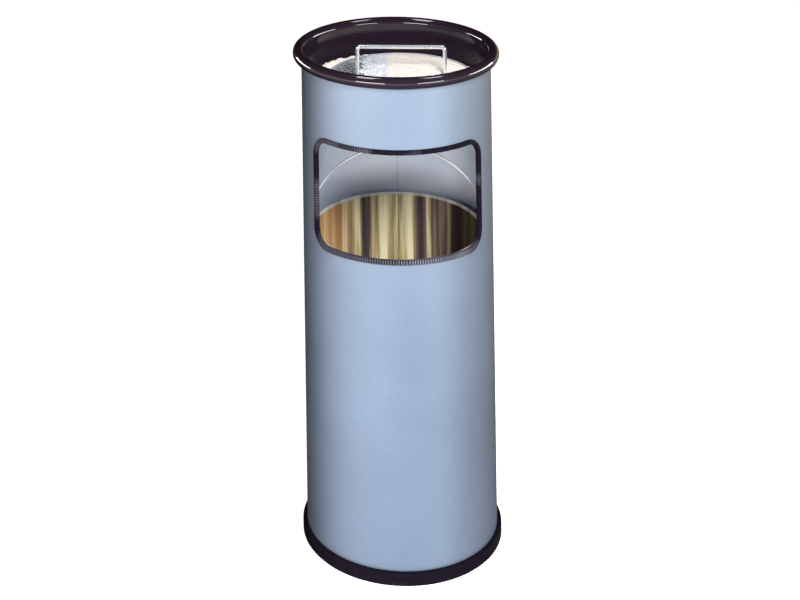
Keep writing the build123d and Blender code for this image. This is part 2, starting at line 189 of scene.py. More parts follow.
class BinFinishes(bpy.types.PropertyGroup):
    """Colours of the bin."""

    tube: bpy.props.FloatVectorProperty(
        name="Tube", description="Silver-blue powder coat", default=(0.345, 0.455, 0.645), subtype="COLOR"
    )
    bowl: bpy.props.FloatVectorProperty(
        name="Bowl",
        description="Gloss black of the ash bowl",
        default=(0.008, 0.0045, 0.0085),
        subtype="COLOR",
    )
    trim: bpy.props.FloatVectorProperty(
        name="Trim",
        description="Rubber of the window trim",
        default=(0.0035, 0.0022, 0.0055),
        subtype="COLOR",
    )
    foot: bpy.props.FloatVectorProperty(
        name="Foot", description="Moulded foot ring", default=(0.0045, 0.003, 0.007), subtype="COLOR"
    )
    # Bucket and bucket warm also colour the painted reflections inside the bucket.
    bucket: bpy.props.FloatVectorProperty(
        name="Bucket", description="Bright sheet of the bucket", default=(0.86, 0.79, 0.50), subtype="COLOR"
    )
    bucket_warm: bpy.props.FloatVectorProperty(
        name="Bucket warm",
        description="Straw tint in the bucket's rolled streaks",
        default=(0.74, 0.58, 0.28),
        subtype="COLOR",
    )
    wire: bpy.props.FloatVectorProperty(
        name="Wire",
        description="Bright wire of the bail and the hoop",
        default=(0.80, 0.82, 0.85),
        subtype="COLOR",
    )
    sand: bpy.props.FloatVectorProperty(
        name="Sand", description="Dry sand", default=(0.66, 0.60, 0.54), subtype="COLOR"
    )


class StageSizes(bpy.types.PropertyGroup):
    """View camera and studio."""

    eye_distance: bpy.props.FloatProperty(
        name="Eye distance",
        description="Level distance from the bin's axis to the lens",
        default=2.292,
        unit="LENGTH",
    )
    eye_height: bpy.props.FloatProperty(
        name="Eye height", description="Height of the lens above the ground", default=1.337, unit="LENGTH"
    )
    heading: bpy.props.FloatProperty(
        name="Heading",
        description="Turn of the film about the upright",
        default=radians(-3.54),
        subtype="ANGLE",
    )
    roll: bpy.props.FloatProperty(
        name="Roll", description="Turn of the film in its own plane", default=radians(-0.80), subtype="ANGLE"
    )
    fall: bpy.props.FloatProperty(
        name="Fall",
        description="How far the lens looks down, as a share of its focal length",
        default=0.45506,
    )
    cross: bpy.props.FloatProperty(
        name="Cross",
        description="How far the lens looks aside, as a share of its focal length",
        default=0.06877,
    )
    focal: bpy.props.FloatProperty(
        name="Focal length", description="Focal length on a 36 mm wide film, in millimetres", default=79.4
    )


# ---- Mesh helpers ----


def arc(centre, radius, start, sweep, steps):
    """Points of a circular arc: centre + radius (cos a, sin a), with a from start through sweep, in degrees."""
    angles = np.radians(start + sweep * np.linspace(0, 1, steps + 1))
    return np.stack([centre[0] + radius * np.cos(angles), centre[1] + radius * np.sin(angles)], -1)


def spaced(corners, most):
    """A polyline's points with each run divided evenly, so that no step is longer than most."""
    corners = np.asarray(corners, float)
    runs = np.linalg.norm(np.diff(corners, axis=0), axis=1)
    counts = np.maximum(np.ceil(runs / most).astype(int), 1)
    pieces = [
        start + (end - start) * np.linspace(0, 1, count, endpoint=False)[:, None]
        for start, end, count in zip(corners[:-1], corners[1:], counts)
    ]
    return np.vstack(pieces + [corners[-1:]])


def skin(points, close_rows=False, close_columns=True, caps=False, flip=False):
    """Quads over a grid of points, rows along a path and columns round a profile.

    Each quad joins a point with the next in its row and the two beside them in
    the next row. Closed ways wrap round, and caps close the first and last row.
    """
    rows, columns = points.shape[:2]
    down = np.arange(rows if close_rows else rows - 1)[:, None]
    along = np.arange(columns if close_columns else columns - 1)[None, :]
    here = down * columns + along
    right = down * columns + (along + 1) % columns
    below = (down + 1) % rows * columns + along
    corner = (down + 1) % rows * columns + (along + 1) % columns
    quads = np.stack([here, right, corner, below], -1).reshape(-1, 4)
    faces = (quads[:, ::-1] if flip else quads).tolist()
    if caps:
        first = list(range(columns))
        last = [(rows - 1) * columns + column for column in range(columns)]
        ends = [first[::-1], last]
        faces += [end[::-1] if flip else end for end in ends]
    return points.reshape(-1, 3), faces


def joined(*meshes):
    """Several (points, faces) pairs as one."""
    points, faces, count = [], [], 0
    for some_points, some_faces in meshes:
        points.append(some_points)
        faces += [[corner + count for corner in face] for face in some_faces]
        count += len(some_points)
    return np.vstack(points), faces


def turned(profile, segments=256, centre=(0.0, 0.0)):
    """A profile of (radius, height) points carried once round an upright axis.

    Point = centre + radius (cos a, sin a), height, with a in equal steps.
    """
    angles = 2 * pi * np.arange(segments) / segments
    profile = np.asarray(profile, float)
    radius, height = profile[:, 0][:, None], profile[:, 1][:, None]
    x = centre[0] + radius * np.cos(angles)
    y = centre[1] + radius * np.sin(angles)
    return np.stack([x, y, np.broadcast_to(height, x.shape)], -1)


def wire_along(path, radius, side, sides):
    """A round wire on a flat path: a circle about each point, across side and the path's inward normal."""
    path = np.asarray(path, float)
    ahead = np.gradient(path, axis=0)
    ahead /= np.linalg.norm(ahead, axis=1)[:, None]
    side = np.asarray(side, float)
    inward = np.cross(ahead, side)
    angles = 2 * pi * np.arange(sides) / sides
    ring = np.cos(angles)[None, :, None] * inward[:, None, :] + np.sin(angles)[None, :, None] * side
    return path[:, None, :] + radius * ring


def uneven(x, y, scale, seed, waves=24):
    """Smooth noise about zero: the sum of plane waves over the root of their number.

    Their headings, lengths near scale, and phases are drawn from the seed.
    """
    draw = np.random.default_rng(seed)
    heading = draw.uniform(0, 2 * pi, waves)
    number = 2 * pi / (scale * draw.uniform(0.5, 1.8, waves))
    phase = draw.uniform(0, 2 * pi, waves)
    x, y = np.asarray(x, float)[..., None], np.asarray(y, float)[..., None]
    level = np.cos(number * (x * np.cos(heading) + y * np.sin(heading)) + phase)
    return level.sum(-1) / sqrt(waves)


def make_piece(name, mesh_data, body, replaced, finish, sharp=40.0, layers=None):
    """Makes a piece from (points, faces), with its body and finish, and hides the CAD nodes it replaces.

    Seams and poles are merged and faces turned outward. Layers are named values
    stored for each point.
    """
    points, faces = mesh_data
    mesh = bpy.data.meshes.new(name)
    mesh.from_pydata(points.tolist(), [], faces)
    for layer, values in (layers or {}).items():
        mesh.attributes.new(layer, "FLOAT", "POINT").data.foreach_set("value", values.astype(np.float32))
    mesh.validate()
    work = bmesh.new()
    work.from_mesh(mesh)
    bmesh.ops.remove_doubles(work, verts=work.verts, dist=1e-7)
    bmesh.ops.dissolve_degenerate(work, edges=work.edges, dist=1e-8)
    bmesh.ops.recalc_face_normals(work, faces=work.faces)
    work.to_mesh(mesh)
    work.free()
    mesh.shade_smooth()
    mesh.set_sharp_from_angle(angle=radians(sharp))
    piece = bpy.data.objects.new(name, mesh)
    bpy.context.scene.collection.objects.link(piece)
    mesh.materials.append(finish)
    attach(piece, body)
    if replaced:
        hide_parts(*replaced)
    return piece


def finish_nodes(finish, *names):
    """Gives carried-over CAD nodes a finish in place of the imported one."""
    for name in names:
        mesh = frame["nodes"][name].data
        mesh.materials.clear()
        mesh.materials.append(finish)


# ---- Shader helpers ----


class Level:
    """A node output that holds one number. Arithmetic on it adds Math nodes."""

    def __init__(self, coat, socket):
        self.coat = coat
        self.socket = socket

    def maths(self, operation, first, second):
        return self.coat.level("ShaderNodeMath", {"operation": operation}, {0: first, 1: second})

    def __add__(self, other):
        return self.maths("ADD", self, other)

    def __radd__(self, other):
        return self.maths("ADD", other, self)

    def __sub__(self, other):
        return self.maths("SUBTRACT", self, other)

    def __rsub__(self, other):
        return self.maths("SUBTRACT", other, self)

    def __mul__(self, other):
        return self.maths("MULTIPLY", self, other)

    def __rmul__(self, other):
        return self.maths("MULTIPLY", other, self)

    def __truediv__(self, other):
        return self.maths("DIVIDE", self, other)

    def __pow__(self, other):
        return self.maths("POWER", self, other)


class Coat:
    """A material's or a world's node tree, and the one way to add a node to it."""

    def __init__(self, name, store=None):
        self.material = (bpy.data.materials if store is None else store).new(name)
        self.material.use_nodes = True
        self.tree = self.material.node_tree
        self.tree.nodes.clear()

    def node(self, kind, settings=None, inputs=None):
        """Adds a node: its settings first, a ramp's stops among them, then values or links for its inputs."""
        node = self.tree.nodes.new(kind)
        for name, value in (settings or {}).items():
            if name == "stops":
                self.set_stops(node.color_ramp, value)
            else:
                setattr(node, name, value)
        for name, value in (inputs or {}).items():
            self.feed(node.inputs[name], value)
        return node

    def level(self, kind, settings=None, inputs=None, output=0):
        """Adds a node and gives one of its outputs as a number for arithmetic."""
        return Level(self, self.node(kind, settings, inputs).outputs[output])

    def set_stops(self, ramp, stops):
        while len(ramp.elements) < len(stops):
            ramp.elements.new(0.5)
        for element, (place, colour) in zip(ramp.elements, stops):
            element.position = place
            element.color = colour

    def feed(self, socket, value):
        if isinstance(value, Level):
            value = value.socket
        if isinstance(value, bpy.types.NodeSocket):
            self.tree.links.new(value, socket)
        else:
            socket.default_value = value

    def place(self):
        """Object coordinates."""
        return self.node("ShaderNodeTexCoord").outputs["Object"]

    def axes(self, place=None):
        """X, Y and Z of a place as three numbers."""
        split = self.node("ShaderNodeSeparateXYZ", inputs={0: place or self.place()})
        return [Level(self, output) for output in split.outputs]

    def noise(self, scale, detail=2.0, rough=0.5, place=None):
        """Noise from 0 to 1 at a scale in waves per metre."""
        inputs = {"Vector": place or self.place(), "Scale": scale, "Detail": detail, "Roughness": rough}
        return self.level("ShaderNodeTexNoise", inputs=inputs)

    def ramp(self, value, *stops):
        """A colour ramp. Each stop is a place and a grey level or a colour."""
        full = [
            (place, (grey, grey, grey, 1.0) if isinstance(grey, (int, float)) else (*grey, 1.0))
            for place, grey in stops
        ]
        return self.level("ShaderNodeValToRGB", {"stops": full}, {0: value})

    def blend(self, share, first, second):
        """One colour laid over another by a share from 0 to 1."""
        mix = self.node("ShaderNodeMix", {"data_type": "RGBA"})
        self.feed(mix.inputs[0], share)
        self.feed(mix.inputs[6], first if not isinstance(first, tuple) else (*first, 1.0))
        self.feed(mix.inputs[7], second if not isinstance(second, tuple) else (*second, 1.0))
        return mix.outputs[2]

    def bump(self, height, depth, strength):
        """A normal from a height in 0 to 1, worth depth metres."""
        inputs = {"Strength": strength, "Distance": depth, "Height": height}
        return self.node("ShaderNodeBump", inputs=inputs).outputs[0]

    def done(self, **sockets):
        """Adds the surface shader with its sockets, named with underscores, and gives the material."""
        surface = self.node("ShaderNodeBsdfPrincipled")
        for name, value in sockets.items():
            value = (*value, 1.0) if isinstance(value, tuple) and len(value) == 3 else value
            self.feed(surface.inputs[name.replace("_", " ")], value)
        self.node("ShaderNodeOutputMaterial", inputs={"Surface": surface.outputs[0]})
        return self.material


def colour(name):
    """A colour of the finishes as a tuple."""
    return tuple(getattr(bpy.context.scene.bin_finishes, name))


# ---- Finishes ----


def powder_coat():
    """Silver-blue metallic powder coat with flakes and a faint orange peel.

    Inside the tube it is thinner and greyer, with a painted shadow line down the seam.
    """
    coat = Coat("silver_blue_powder_coat")
    base = colour("tube")
    pale = tuple(min(channel * 1.22 + 0.02, 1.0) for channel in base)
    deep = tuple(channel * 0.80 for channel in base)
    x, y, z = coat.axes()
    outside = coat.ramp(((x * x + y * y) ** 0.5 - TUBE_RADIUS) / (1.0 * MM) + 1, (0.3, 0.0), (0.6, 1.0))
    flakes = coat.noise(2600.0, detail=1.0, rough=0.6)
    cloud = coat.noise(9.0, detail=3.0)
    tone = coat.ramp(flakes * 0.8 + cloud * 0.2, (0.36, 0.0), (0.66, 1.0))
    tint = coat.blend(tone, deep, pale)
    thin = coat.blend(coat.noise(14.0, detail=3.0), (0.48, 0.50, 0.54), (0.38, 0.45, 0.62))
    behind = coat.ramp(y / MM + 0.5, (0.4, 0.0), (0.6, 1.0))
    # Painted shadow: a dark line down the middle of the back seam, on the inside only.
    seam = coat.ramp((x * x) ** 0.5 / MM, (0.3, 0.45), (1.3, 0.0)) * behind
    thin = coat.blend(seam, thin, (0.10, 0.11, 0.14))
    tint = coat.blend(outside, thin, tint)
    peel = coat.noise(420.0, detail=2.0)
    rough = 0.34 + flakes * 0.08 + cloud * 0.04
    return coat.done(
        Base_Color=tint,
        Metallic=0.30 + outside * 0.55,
        Roughness=rough,
        Normal=coat.bump(peel, 0.04 * MM, 0.4),
        Coat_Weight=0.40 - outside * 0.30,
        Coat_Roughness=0.12,
    )


def gloss_enamel():
    """Violet-black enamel with faint waves and dust, and a clear glaze on the rolled rim only."""
    coat = Coat("gloss_black_enamel")
    wave = coat.noise(26.0, detail=2.0)
    dust = coat.ramp(coat.noise(520.0, detail=4.0, rough=0.7), (0.60, 0.0), (0.74, 1.0))
    rim = coat.ramp((coat.axes()[2] - BOWL_HIGH.z) / (40 * MM) + 1, (0.55, 0.10), (0.66, 1.0))
    tint = coat.blend(dust * 0.10, colour("bowl"), (0.05, 0.045, 0.05))
    return coat.done(
        Base_Color=tint,
        Roughness=0.16 + wave * 0.08,
        Specular_IOR_Level=0.06,
        Coat_Weight=rim,
        Coat_Roughness=0.05,
        Normal=coat.bump(wave, 0.10 * MM, 0.25),
    )


def edge_rubber():
    """Black rubber: ribs painted pale as highlights in patches, and along the sill as painted light from above;
    dull and dark in the grooves.
    """
    coat = Coat("black_edge_rubber")
    groove = coat.level("ShaderNodeAttribute", {"attribute_name": "groove"}, output="Fac")
    grain = coat.noise(1900.0, detail=3.0, rough=0.6)
    # Painted light: the ribs low on the trim, along the sill, are made paler, as if lit from above.
    low = coat.ramp((coat.axes()[2] - TRIM_LOW.z) / (14 * MM), (0.5, 0.55), (1.0, 0.0))
    # Painted highlights: pale patches on the ribs stand in for glints.
    glint_patch = coat.ramp(coat.noise(17.0, detail=2.0), (0.50, 0.05), (0.60, 1.0))
    ridge_highlight = (1 - groove) * (1 - groove) * (glint_patch * 0.65 + low)
    tint = coat.blend(ridge_highlight, colour("trim"), (0.095, 0.095, 0.115))
    return coat.done(
        Base_Color=tint,
        Roughness=0.34 + groove * 0.4 + grain * 0.10,
        Specular_IOR_Level=0.06,
        Normal=coat.bump(grain, 0.05 * MM, 0.5),
    )


def moulded_plastic():
    """Matte black moulding with a fine spark-eroded grain and scuffs low down."""
    coat = Coat("matte_black_moulding")
    grain = coat.noise(1500.0, detail=2.0, rough=0.7)
    low = coat.axes()[2]
    near_floor = coat.ramp(low / RING_HIGH.z, (0.0, 1.0), (0.45, 0.0))
    scuff = coat.ramp(coat.noise(160.0, detail=5.0, rough=0.7), (0.55, 0.0), (0.68, 1.0)) * near_floor
    tint = coat.blend(scuff * 0.20, colour("foot"), (0.10, 0.10, 0.11))
    return coat.done(
        Base_Color=tint,
        Roughness=0.34 + grain * 0.16,
        Specular_IOR_Level=0.10,
        Normal=coat.bump(grain, 0.05 * MM, 0.6),
    )


def rolled_steel():
    """Bright sheet with upright rolled streaks, and over them painted reflections in cream, straw and brown.

    The inside has a painted orange reflection on one side and a painted shadow on the other, the outside plain.
    The tone is smooth noise in (x / r, y / r, 0.3 z), with r the distance
    from the axis, so it changes quickly round the wall and slowly up it.
    """
    coat = Coat("bright_rolled_steel")
    x, y, z = coat.axes()
    radius = (x * x + y * y) ** 0.5
    turn = coat.level("ShaderNodeMath", {"operation": "ARCTAN2"}, {0: x, 1: y})
    heading = {0: x / radius, 1: y / radius, 2: z * 0.30}
    round_wall = coat.node("ShaderNodeCombineXYZ", inputs=heading).outputs[0]
    wide = coat.noise(8.5, detail=1.0, place=round_wall)
    narrow = coat.noise(26.0, detail=2.0, rough=0.6, place=round_wall)
    hair = coat.noise(240.0, detail=2.0, rough=0.6, place=round_wall)
    streak_and_reflection = wide * 0.68 + narrow * 0.26 + hair * 0.06
    bright, warm = colour("bucket"), colour("bucket_warm")
    # Painted reflections: tones from near black to cream inside the bucket stand in for a room mirrored in the
    # bright sheet, laid on the rolled streaks.
    reflection_tones = [
        (0.36, (0.07, 0.052, 0.055)),
        (0.46, (0.20, 0.15, 0.135)),
        (0.52, tuple(channel * 0.66 for channel in warm)),
        (0.59, bright),
        (0.64, tuple(min(channel * 1.15, 1.0) for channel in bright)),
    ]
    tint = coat.ramp(streak_and_reflection, *reflection_tones)
    below_rim = coat.ramp((BUCKET_HIGH.z - z) / (12 * MM), (0.20, 0.0), (0.28, 1.0))
    sizes = bpy.context.scene.bin_sizes
    middle = BUCKET_HIGH.x - 2 * sizes.bucket_curl + sizes.bucket_sheet / 2
    within = coat.ramp((middle - radius) / sizes.bucket_sheet + 0.5, (0.4, 0.0), (0.6, 1.0)) * below_rim
    plain = coat.ramp(streak_and_reflection, (0.36, (0.36, 0.35, 0.33)), (0.62, (0.66, 0.65, 0.62)))
    # Painted reflection: an orange tint on one side of the inside.
    orange = coat.ramp((0 - turn) / 2, (0.28, 0.0), (0.42, 0.62), (0.70, 0.62), (0.95, 0.0))
    tint = coat.blend(orange, tint, (0.66, 0.34, 0.14))
    # Painted shadow: the other side of the inside turns near black.
    painted_shadow_side = coat.ramp((turn + 0.12 * narrow) / 2, (0.34, 0.0), (0.40, 0.96), (0.70, 0.90), (0.98, 0.0))
    tint = coat.blend(painted_shadow_side, tint, (0.010, 0.005, 0.009))
    tint = coat.blend(within, plain, tint)
    return coat.done(
        Base_Color=tint,
        Metallic=0.45 + below_rim * 0.47 - within * 0.60 + within * narrow * 0.2,
        Roughness=0.30 + hair * 0.16,
        Specular_IOR_Level=0.3,
        Normal=coat.bump(hair * 0.6 + narrow * 0.4, 0.10 * MM, 0.55),
    )


def bright_wire(name, shine):
    """Plated wire: a faint haze over a bright skin. Shine says how much of it is mirror."""
    coat = Coat(name)
    haze = coat.noise(140.0, detail=4.0, rough=0.6)
    tint = coat.blend(haze * 0.3, colour("wire"), (0.58, 0.64, 0.72))
    return coat.done(
        Base_Color=tint,
        Metallic=shine - haze * 0.1,
        Roughness=0.30 - shine * 0.2 + haze * 0.10,
        Normal=coat.bump(haze, 0.03 * MM, 0.4),
    )


def plain_zinc():
    """Galvanised sheet: pale spangles that differ a little in tone and in roughness."""
    coat = Coat("galvanised_sheet")
    cells = coat.level(
        "ShaderNodeTexVoronoi", {"feature": "F1"}, {"Vector": coat.place(), "Scale": 160.0}, output="Color"
    )
    spangle = coat.ramp(cells, (0.2, 0.0), (0.8, 1.0))
    scratch = coat.noise(600.0, detail=3.0)
    tint = coat.blend(spangle, (0.46, 0.47, 0.49), (0.66, 0.67, 0.69))
    return coat.done(
        Base_Color=tint,
        Metallic=1.0,
        Roughness=0.30 + spangle * 0.16,
        Normal=coat.bump(scratch, 0.03 * MM, 0.4),
    )


def mesh_steel():
    """Bluish bright mesh, dusted with sand where it lies flat."""
    coat = Coat("bright_mesh")
    dust = coat.ramp(coat.noise(420.0, detail=4.0, rough=0.7), (0.46, 0.0), (0.64, 1.0))
    tint = coat.blend(dust * 0.5, (0.50, 0.57, 0.64), colour("sand"))
    return coat.done(
        Base_Color=tint,
        Metallic=0.75 - dust * 0.5,
        Roughness=0.30 + dust * 0.4,
        Normal=coat.bump(dust, 0.08 * MM, 0.6),
    )


def dry_sand(name, bed):
    """Cream sand: single grains from a cell pattern, a few dark ones, and grey ash dust.

    The bed under the bare mesh is painted dark, ash with painted shade. Sand on the sieve turns bluish
    and specked at the left, where it lies thin over the mesh.
    """
    coat = Coat(name)
    grains = coat.level(
        "ShaderNodeTexVoronoi", {"feature": "F1"}, {"Vector": coat.place(), "Scale": 1500.0}, output="Color"
    )
    height = coat.level("ShaderNodeTexVoronoi", {"feature": "F1"}, {"Vector": coat.place(), "Scale": 1500.0})
    drift = coat.noise(36.0, detail=4.0, rough=0.6)
    base = colour("sand")
    pale = tuple(min(channel * 1.08 + 0.02, 1.0) for channel in base)
    deep = tuple(channel * 0.80 for channel in base)
    tint = coat.blend(coat.ramp(grains, (0.15, 0.0), (0.75, 1.0)), deep, pale)
    tint = coat.blend(coat.ramp(grains, (0.90, 0.0), (0.94, 0.8)), tint, (0.24, 0.20, 0.18))
    tint = coat.blend(coat.ramp(drift, (0.40, 0.10), (0.70, 0.0)), tint, (0.62, 0.66, 0.70))
    x, y, z = coat.axes()
    off_sieve = ((x - SIEVE_CENTRE.x) ** 2 + (y - SIEVE_CENTRE.y) ** 2) ** 0.5
    from_sieve = off_sieve / (SIEVE_HIGH.x - SIEVE_CENTRE.x)
    if bed:
        # Painted shade: left of the sieve's middle, the bed under the bare mesh is made near black, ash with
        # shade.
        bare = coat.ramp((SIEVE_CENTRE.x - x) / (10 * MM), (0.3, 0.0), (0.9, 0.9))
        ash = bare * coat.ramp(from_sieve, (0.96, 1.0), (1.02, 0.0))
        tint = coat.blend(ash, tint, (0.035, 0.038, 0.05))
        crumbs = coat.ramp(coat.noise(170.0, detail=3.0, rough=0.7), (0.50, 0.0), (0.60, 0.8))
        left = coat.ramp((0 - x) / (100 * MM), (0.3, 0.0), (0.6, 0.9))
        outside = left * coat.ramp(from_sieve, (1.0, 0.0), (1.02, 1.0))
        tint = coat.blend(crumbs * outside, tint, (0.07, 0.055, 0.06))
    else:
        thin = coat.ramp((0 - x) / (40 * MM) + 0.25 * (drift - 0.5), (0.16, 0.0), (0.34, 0.85))
        speck = coat.ramp(coat.noise(330.0, detail=2.0), (0.50, 0.0), (0.62, 0.6))
        tint = coat.blend(thin, tint, coat.blend(speck, (0.56, 0.61, 0.66), (0.10, 0.12, 0.16)))
    relief = (1 - height) * 0.7 + drift * 0.3
    return coat.done(Base_Color=tint, Roughness=0.92, Normal=coat.bump(relief, 0.35 * MM, 0.8))


# ---- The window's outline on the tube ----


def outline_stations(step):
    """Stations once round the window, from the joint on the sill, to the right.

    A station is an angle about the axis, how much of the inset corner radius it
    lies across and above its base height, and that base height. On the straight
    runs the share across or above is zero or one; in a corner they are a cosine
    and a sine. Place = angle + asin(share * corner / radius), base + share * corner.
    """
    trim = bpy.context.scene.bin_trim
    corner_angle = trim.width / 2 / TUBE_RADIUS - asin(trim.corner / TUBE_RADIUS)
    low, high = TRIM_LOW.z + trim.corner, TRIM_HIGH.z - trim.corner
    quarter = trim.corner * pi / 2
    level = corner_angle * TUBE_RADIUS
    joint = trim.joint_angle

    def run(length, values):
        count = max(int(round(length / step)), 2)
        share = np.linspace(0, 1, count, endpoint=False)[:, None]
        start, end = np.array(values[0], float), np.array(values[1], float)
        return start + (end - start) * share

    def corner(side, start, sweep, base):
        count = max(int(round(quarter / step)), 2)
        angle = np.radians(start + sweep * np.linspace(0, 1, count, endpoint=False))
        centre = np.full(count, side * corner_angle)
        return np.stack([centre, np.cos(angle), np.full(count, base), np.sin(angle)], -1)

    parts = [
        run(level * (1 - joint / corner_angle), [(joint, 0, low, -1), (corner_angle, 0, low, -1)]),
        corner(1, -90, 90, low),
        run(high - low, [(corner_angle, 1, low, 0), (corner_angle, 1, high, 0)]),
        corner(1, 0, 90, high),
        run(2 * level, [(corner_angle, 0, high, 1), (-corner_angle, 0, high, 1)]),
        corner(-1, 90, 90, high),
        run(high - low, [(-corner_angle, -1, high, 0), (-corner_angle, -1, low, 0)]),
        corner(-1, 180, 90, low),
        run(level * (1 + joint / corner_angle), [(-corner_angle, 0, low, -1), (joint, 0, low, -1)]),
    ]
    return np.vstack(parts)


def on_outline(stations, inset, radius):
    """Angle about the axis and height of each station, moved in by inset, on a cylinder of that radius."""
    corner = bpy.context.scene.bin_trim.corner - inset
    angle = stations[:, 0, None] + np.arcsin(stations[:, 1, None] * corner / radius)
    height = stations[:, 2, None] + stations[:, 3, None] * corner
    return angle, np.broadcast_to(height, angle.shape)


def on_cylinder(angle, height, radius):
    """Points at an angle from the window's middle, to the right: radius (sin a, -cos a), height."""
    return np.stack([radius * np.sin(angle), -radius * np.cos(angle), height + 0 * angle], -1)


# ---- Operators, one for each piece or group of like pieces ----


class BIN_OT_tube(bpy.types.Operator):
    """Rolled tube: the sheet round the window, and the lap of its back seam"""

    bl_idname = "bin.tube"
    bl_label = "Rolled tube"

    def sheet(self):
        """Sheet as a function of two parameters: round the window, and out to the sheet's edges.

        Each point is a blend, on the unrolled sheet, of a point of the cut-out
        and a point of the sheet's rectangle, and is then rolled onto the tube.
        """
        sizes, trim = bpy.context.scene.bin_sizes, bpy.context.scene.bin_trim
        stations = self.cut_out(trim)
        share = (np.linspace(0, 1, 64) ** 1.15)[None, :]
        layers = []
        for radius in (TUBE_RADIUS, TUBE_RADIUS - sizes.sheet):
            angle, height = on_outline(stations["places"], trim.slot, radius)
            edge_angle, edge_height = stations["edge_angle"][:, None], stations["edge_height"][:, None]
            angle, height = angle + (edge_angle - angle) * share, height + (edge_height - height) * share
            layers.append(on_cylinder(angle, height, radius))
        outer, inner = layers
        count = len(outer)
        cut_edge = np.stack([inner[:, 0], outer[:, 0]], 0)
        parts = [
            skin(outer, close_rows=True, close_columns=False),
            skin(inner, close_rows=True, close_columns=False, flip=True),
            skin(cut_edge),
        ]
        for side in ("top", "bottom"):
            rows = np.flatnonzero(stations[side])
            if rows[-1] - rows[0] == count - 1:
                rows = np.roll(rows, -np.argmax(np.diff(rows) > 1) - 1)
            rows = np.append(rows, (rows[-1] + 1) % count)
            parts.append(skin(np.stack([outer[rows, -1], inner[rows, -1]], 0), close_columns=False))
        return joined(*parts)

    def cut_out(self, trim):
        """Stations round the cut-out, and the place of each on the sheet's rectangle, side by side."""
        corner_angle = trim.width / 2 / TUBE_RADIUS - asin(trim.corner / TUBE_RADIUS)
        low, high = TRIM_LOW.z + trim.corner, TRIM_HIGH.z - trim.corner
        half_arc, across, upright = 6, 150, 36

        def side(angles, first, last, start):
            turn_in = np.radians(np.linspace(start - 45, start, half_arc, endpoint=False))
            turn_out = np.radians(np.linspace(start, start + 45, half_arc, endpoint=False))
            straight = upright if start in (0, 180) else across
            run = np.linspace(0, 1, straight, endpoint=False)[:, None]
            begin, end = [
                np.stack([np.full(half_arc, at[0]), np.cos(turn), np.full(half_arc, at[1]), np.sin(turn)], -1)
                for at, turn in ((first, turn_in), (last, turn_out))
            ]
            flat = (round(cos(radians(start))), round(sin(radians(start))))
            first_row = np.array([first[0], flat[0], first[1], flat[1]], float)
            last_row = np.array([last[0], flat[0], last[1], flat[1]], float)
            rows = np.vstack([begin, first_row + (last_row - first_row) * run, end])
            share = np.arange(len(rows)) / len(rows)
            (angle_a, height_a), (angle_b, height_b) = angles
            return rows, angle_a + (angle_b - angle_a) * share, height_a + (height_b - height_a) * share

        bottom, top = TUBE_LOW.z, TUBE_HIGH.z
        sides = [
            side([(-pi, bottom), (pi, bottom)], (-corner_angle, low), (corner_angle, low), -90),
            side([(pi, bottom), (pi, top)], (corner_angle, low), (corner_angle, high), 0),
            side([(pi, top), (-pi, top)], (corner_angle, high), (-corner_angle, high), 90),
            side([(-pi, top), (-pi, bottom)], (-corner_angle, high), (-corner_angle, low), 180),
        ]
        lengths = [len(rows) for rows, _, _ in sides]
        which = np.repeat(np.arange(4), lengths)
        return {
            "places": np.vstack([rows for rows, _, _ in sides]),
            "edge_angle": np.concatenate([angles for _, angles, _ in sides]),
            "edge_height": np.concatenate([heights for _, _, heights in sides]),
            "bottom": which == 0,
            "top": which == 2,
        }

    def lap(self):
        """The seam's inner layer: a strip inside the back wall, its long edges slightly eased."""
        sizes = bpy.context.scene.bin_sizes
        half = sizes.seam_lap / 2 / TUBE_RADIUS
        outside = TUBE_RADIUS - sizes.sheet
        inside = outside - sizes.sheet
        ease = 0.25 * MM
        small = ease / TUBE_RADIUS
        above_lip, below_edge = 5.5 * MM, 1.4 * MM
        across, rows = 9, 40
        back = np.linspace(-half, half, across)
        front = np.linspace(half - small, small - half, across)
        angles = np.concatenate([back, [half, half - small], front, [-half]])
        eased = inside + ease
        radii = np.concatenate([np.full(across, outside), [eased, inside], np.full(across, inside), [eased]])
        heights = np.linspace(TUBE_LOW.z + above_lip, TUBE_HIGH.z - below_edge, rows)[:, None]
        x, y, z = np.broadcast_arrays(radii * np.sin(angles), radii * np.cos(angles), heights)
        points = np.stack([x, y, z], -1)
        return skin(points, caps=True)

    def execute(self, context):
        finish = powder_coat()
        make_piece("tube_sheet", self.sheet(), "body", ["body_shell"], finish)
        make_piece("tube_seam_lap", self.lap(), "body", [], finish)
        return {"FINISHED"}


